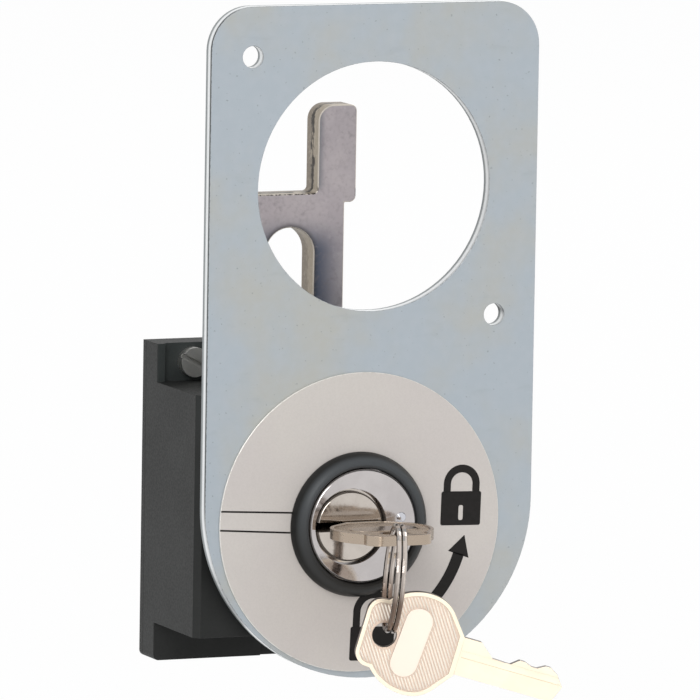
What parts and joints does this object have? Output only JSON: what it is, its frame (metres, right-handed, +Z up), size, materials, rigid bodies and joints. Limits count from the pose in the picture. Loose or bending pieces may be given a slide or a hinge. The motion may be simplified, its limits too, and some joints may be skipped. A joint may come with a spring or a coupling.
{
  "type": "panel key lock",
  "caption": "Key lock on a round-ended front plate with an operator hole; turning the key draws a slotted slide, with a hooked finger, down into a rear housing.",
  "frame": {"origin": "centre of the operator hole on the plate's front face", "axes": "+X to the right seen from the front, +Y from the front to the rear, +Z up"},
  "size_m": [0.072, 0.0745, 0.1386],
  "materials": {
    "plate_steel": "brushed",
    "label": "matte",
    "black_plastic": "satin",
    "chrome": "polished",
    "hard_steel": "bright",
    "nickel_brass": "polished",
    "brass": "bright",
    "spring_steel": "bright",
    "key_nickel": "satin",
    "ring_nickel": "bright",
    "grey_plastic": "matte",
    "zinc_steel": "bright",
    "screw_steel": "satin",
    "slide_steel": "satin"
  },
  "bodies": {
    "base": {"front_plate": "plate_steel", "label_disc": "label", "bezel_ring": "black_plastic", "lock_barrel": "chrome", "drill_pin": "hard_steel", "driver_pins": "brass", "tumbler_springs": "spring_steel", "chamber_cover": "brass", "spacer_ring": "black_plastic", "housing": "grey_plastic", "nut_washer": "zinc_steel", "ring_nut": "zinc_steel", "rear_cover": "grey_plastic", "cover_screws": "screw_steel"},
    "plug": {"lock_plug": "nickel_brass", "key_pins": "brass", "lock_key": "key_nickel", "drive_cam": "zinc_steel", "drive_pin": "hard_steel", "cam_washer": "zinc_steel", "cam_screw": "screw_steel"},
    "slide": {"locking_slide": "slide_steel"},
    "ring": {"key_ring": "ring_nickel"},
    "spare": {"spare_key": "key_nickel"}
  },
  "joints": [
    {"name": "plug_turn", "type": "hinge", "parent": "base", "child": "plug", "pos_m": [-0.00536, 0, -0.06905], "axis": [0, 1, 0], "range_deg": [0, 90]},
    {"name": "slide_travel", "type": "slide", "parent": "base", "child": "slide", "axis": [0, 0, -1], "range_m": [0, 0.00905]},
    {"name": "ring_swivel", "type": "hinge", "parent": "plug", "child": "ring", "pos_m": [-0.00276, -0.0199, -0.06905], "axis": [0, 0, 1], "range_deg": [-35, 35]},
    {"name": "spare_swing", "type": "hinge", "parent": "ring", "child": "spare", "pos_m": [-0.00723, -0.02584, -0.08776], "axis": [0.2924, 0.9563, 0], "range_deg": [-10, 100]}
  ],
  "couplings": [
    {"joint": "plug_turn", "follows": "slide_travel", "rad_per_m": 173.55}
  ]
}
